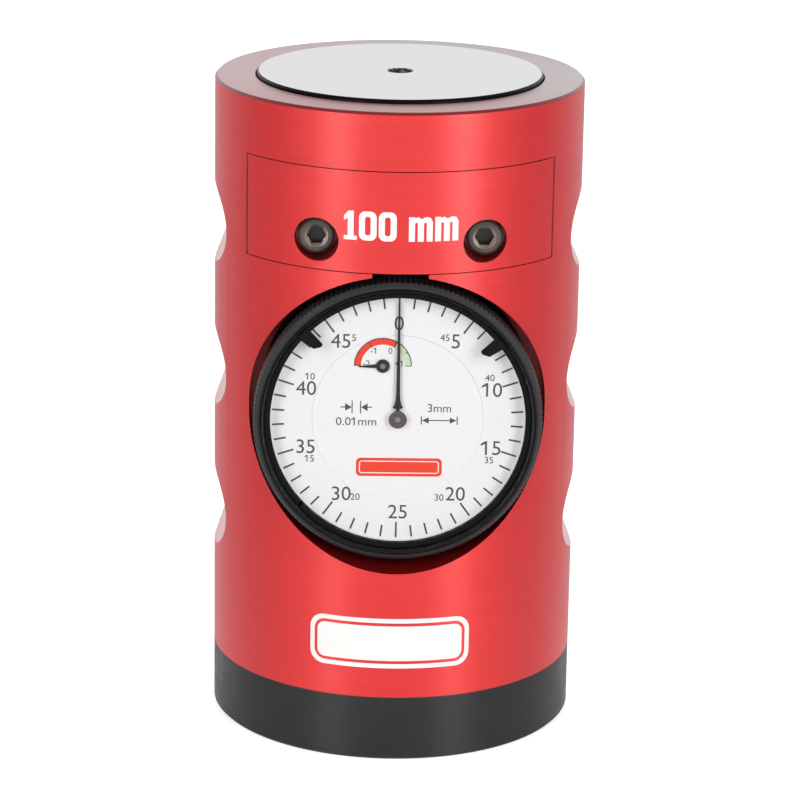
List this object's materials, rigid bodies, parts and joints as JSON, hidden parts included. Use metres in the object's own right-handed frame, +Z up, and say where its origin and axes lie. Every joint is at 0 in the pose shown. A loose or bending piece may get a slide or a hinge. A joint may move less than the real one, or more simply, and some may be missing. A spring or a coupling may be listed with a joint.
{
  "type": "tool height presetter with dial indicator",
  "caption": "Round red tool height presetter on a magnetic base, with a sprung ground contact disc on top and a dial indicator clamped in its side.",
  "frame": {"origin": "centre of the underside of the magnetic base", "axes": "+Z up along the housing's axis, the dial faces -Y, +X to the right of the dial"},
  "size_m": [0.0566, 0.0566, 0.102],
  "materials": {
    "red_anodised": "turned and red anodised, satin",
    "black_base": "black oxide on turned steel, satin",
    "black_oxide": "black oxide, semi-gloss",
    "ground_steel": "hardened and surface ground",
    "bright_steel": "bright turned",
    "spring_steel": "drawn wire",
    "blued_steel": "blued strip",
    "arbor_steel": "hardened, straw-tempered",
    "hub_metal": "nickel silver, dull",
    "ferrite": "sintered, matt",
    "black_resin": "cast potting resin",
    "bronze": "sintered bronze",
    "brass": "rolled plate",
    "ruby": "polished",
    "rubber": "matt",
    "black_case": "black paint, satin",
    "bezel_black": "gloss black",
    "marker_black": "matt black",
    "hand_black": "black lacquer",
    "dial_white": "white enamel, satin",
    "crystal_glass": "clear, polished",
    "print_black": "printed ink",
    "print_grey": "printed ink",
    "print_red": "printed ink",
    "print_green": "printed ink",
    "print_white": "printed ink"
  },
  "bodies": {
    "stand": {"housing": "red_anodised", "stem_clamp_cover": "red_anodised", "cover_screws": "black_oxide", "magnet_base": "black_base", "ring_magnet": "ferrite", "magnet_resin": "black_resin", "base_screws": "black_oxide", "base_dowels": "bright_steel", "upper_guide_bush": "bronze", "lower_guide_bush": "bronze", "anti_turn_bush": "bronze", "return_spring": "spring_steel", "indicator_case": "black_case", "case_back_cover": "black_case", "back_cover_screws": "bright_steel", "stem": "black_oxide", "spindle_bush": "bronze", "back_plate": "brass", "bridge_plate": "brass", "front_plate": "brass", "rear_pillars": "brass", "front_pillars": "brass", "movement_screws": "bright_steel", "front_plate_screws": "bright_steel", "jewel_bearings": "ruby", "inner_dial": "dial_white", "hairspring": "blued_steel", "hairspring_stud": "brass", "bezel_friction_wire": "spring_steel", "spindle_spring": "spring_steel"},
    "disc_group": {"contact_disc": "ground_steel", "disc_set_screw": "black_oxide", "guide_plunger": "bright_steel", "anti_turn_pin": "bright_steel", "plunger_clip": "black_oxide", "stop_washer": "rubber"},
    "spindle_group": {"spindle": "bright_steel", "contact_point": "bright_steel", "rack_guide_pin": "bright_steel", "spindle_collar": "black_oxide"},
    "counter_group": {"rack_arbor": "arbor_steel", "counter_wheel": "brass", "small_hand": "hand_black", "small_hand_hub": "hand_black"},
    "intermediate_group": {"intermediate_arbor": "arbor_steel", "intermediate_wheel": "brass"},
    "centre_group": {"centre_arbor": "arbor_steel", "main_hand": "hand_black", "main_hand_hub": "hub_metal"},
    "hairspring_group": {"hairspring_arbor": "arbor_steel", "hairspring_wheel": "brass"},
    "bezel_group": {"bezel": "bezel_black", "crystal": "crystal_glass", "crystal_ring": "bezel_black", "scale_ring": "dial_white"},
    "left_marker": {"tolerance_marker_left": "marker_black"},
    "right_marker": {"tolerance_marker_right": "marker_black"}
  },
  "joints": [
    {"name": "disc_press", "type": "slide", "parent": "stand", "child": "disc_group", "axis": [0, 0, -1], "range_m": [0, 0.003], "stiffness_N_per_m": 1500, "springref_m": -0.003, "deforming": ["return_spring"]},
    {"name": "spindle_slide", "type": "slide", "parent": "stand", "child": "spindle_group", "axis": [0, 0, -1], "range_m": [0, 0.003], "deforming": ["spindle_spring"]},
    {"name": "counter_turn", "type": "hinge", "parent": "stand", "child": "counter_group", "pos_m": [-0.00235, -0.0203, 0.0617], "axis": [0, 1, 0], "range_deg": [0, 180.01]},
    {"name": "intermediate_turn", "type": "hinge", "parent": "stand", "child": "intermediate_group", "pos_m": [-0.00431, -0.0203, 0.05603], "axis": [0, 1, 0], "range_deg": [-720.01, 0]},
    {"name": "main_hand_turn", "type": "hinge", "parent": "stand", "child": "centre_group", "pos_m": [0, -0.0203, 0.0535], "axis": [0, 1, 0], "range_deg": [0, 2160.01]},
    {"name": "hairspring_turn", "type": "hinge", "parent": "stand", "child": "hairspring_group", "pos_m": [0.00375, -0.0203, 0.047], "axis": [0, 1, 0], "range_deg": [-432.01, 0]},
    {"name": "bezel_turn", "type": "hinge", "parent": "stand", "child": "bezel_group", "pos_m": [0, -0.024, 0.0535], "axis": [0, 1, 0], "continuous": true},
    {"name": "left_marker_shift", "type": "hinge", "parent": "bezel_group", "child": "left_marker", "pos_m": [0, -0.02575, 0.0535], "axis": [0, 1, 0], "range_deg": [-60, 40]},
    {"name": "right_marker_shift", "type": "hinge", "parent": "bezel_group", "child": "right_marker", "pos_m": [0, -0.02575, 0.0535], "axis": [0, 1, 0], "range_deg": [-40, 60]}
  ],
  "couplings": [
    {"joint": "spindle_slide", "follows": "disc_press", "ratio": 1},
    {"joint": "counter_turn", "follows": "disc_press", "rad_per_m": 1047.2},
    {"joint": "intermediate_turn", "follows": "disc_press", "rad_per_m": -4188.8},
    {"joint": "main_hand_turn", "follows": "disc_press", "rad_per_m": 12566},
    {"joint": "hairspring_turn", "follows": "disc_press", "rad_per_m": -2513.3}
  ]
}
